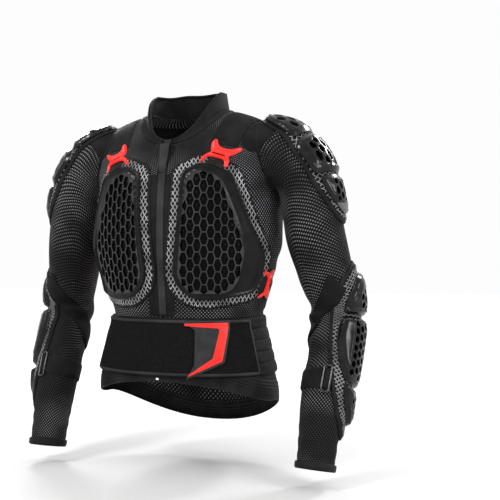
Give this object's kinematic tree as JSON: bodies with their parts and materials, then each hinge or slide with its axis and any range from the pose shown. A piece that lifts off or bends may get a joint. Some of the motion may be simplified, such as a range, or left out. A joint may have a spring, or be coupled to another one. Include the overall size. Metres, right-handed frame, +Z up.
{
  "type": "motorcycle armour jacket",
  "caption": "Stretch mesh jacket with honeycomb chest and back armour, capped shoulder and elbow pads, red strap buckles and a wide kidney belt.",
  "frame": {"origin": "middle of the neck base, between the shoulders, where the jacket hangs on the body that wears it", "axes": "+Z up, the wearer faces -Y, +X towards the wearer's left arm"},
  "size_m": [0.676, 0.2778, 0.6862],
  "materials": {
    "mesh": "black stretch mesh with fine pale dots between the holes",
    "smooth_fabric": "smooth matt black stretch cloth and bound edges",
    "pad_net": "coarse grey and black crossed spacer net over foam",
    "armour": "satin black moulded plastic",
    "webbing": "ribbed black elastic webbing",
    "red_plastic": "satin red moulded plastic",
    "badge": "dark grey and red moulded rubber, bare of lettering"
  },
  "bodies": {
    "root": {"back_pad": "pad_net", "belt_badge": "badge", "belt_front": "smooth_fabric", "hem_band": "smooth_fabric", "kidney_belt": "webbing", "left_chest_pad": "pad_net", "left_chest_plate": "armour", "left_chest_tab": "webbing", "left_cuff": "smooth_fabric", "left_elbow_cap_1": "armour", "left_elbow_cap_2": "armour", "left_elbow_cap_3": "armour", "left_elbow_pad": "pad_net", "left_elbow_strap": "smooth_fabric", "left_forearm_loop": "armour", "left_forearm_strap": "webbing", "left_front_buckle": "red_plastic", "left_rear_buckle": "red_plastic", "left_shoulder_cap_1": "armour", "left_shoulder_cap_2": "armour", "left_shoulder_cap_3": "armour", "left_shoulder_pad": "pad_net", "left_shoulder_strap": "smooth_fabric", "left_shoulder_wing": "smooth_fabric", "left_side_buckle": "red_plastic", "left_side_slider": "armour", "left_side_strap": "webbing", "left_side_tab": "webbing", "left_sleeve": "mesh", "mesh_body": "mesh", "right_chest_pad": "pad_net", "right_chest_plate": "armour", "right_chest_tab": "webbing", "right_cuff": "smooth_fabric", "right_elbow_cap_1": "armour", "right_elbow_cap_2": "armour", "right_elbow_cap_3": "armour", "right_elbow_pad": "pad_net", "right_elbow_strap": "smooth_fabric", "right_forearm_loop": "armour", "right_forearm_strap": "webbing", "right_front_buckle": "red_plastic", "right_rear_buckle": "red_plastic", "right_shoulder_cap_1": "armour", "right_shoulder_cap_2": "armour", "right_shoulder_cap_3": "armour", "right_shoulder_pad": "pad_net", "right_shoulder_strap": "smooth_fabric", "right_shoulder_wing": "smooth_fabric", "right_side_buckle": "red_plastic", "right_side_slider": "armour", "right_side_strap": "webbing", "right_side_tab": "webbing", "right_sleeve": "mesh", "spine_plate": "armour", "stand_collar": "smooth_fabric", "tail_plate": "armour", "zip_placket": "smooth_fabric"}
  },
  "joints": []
}
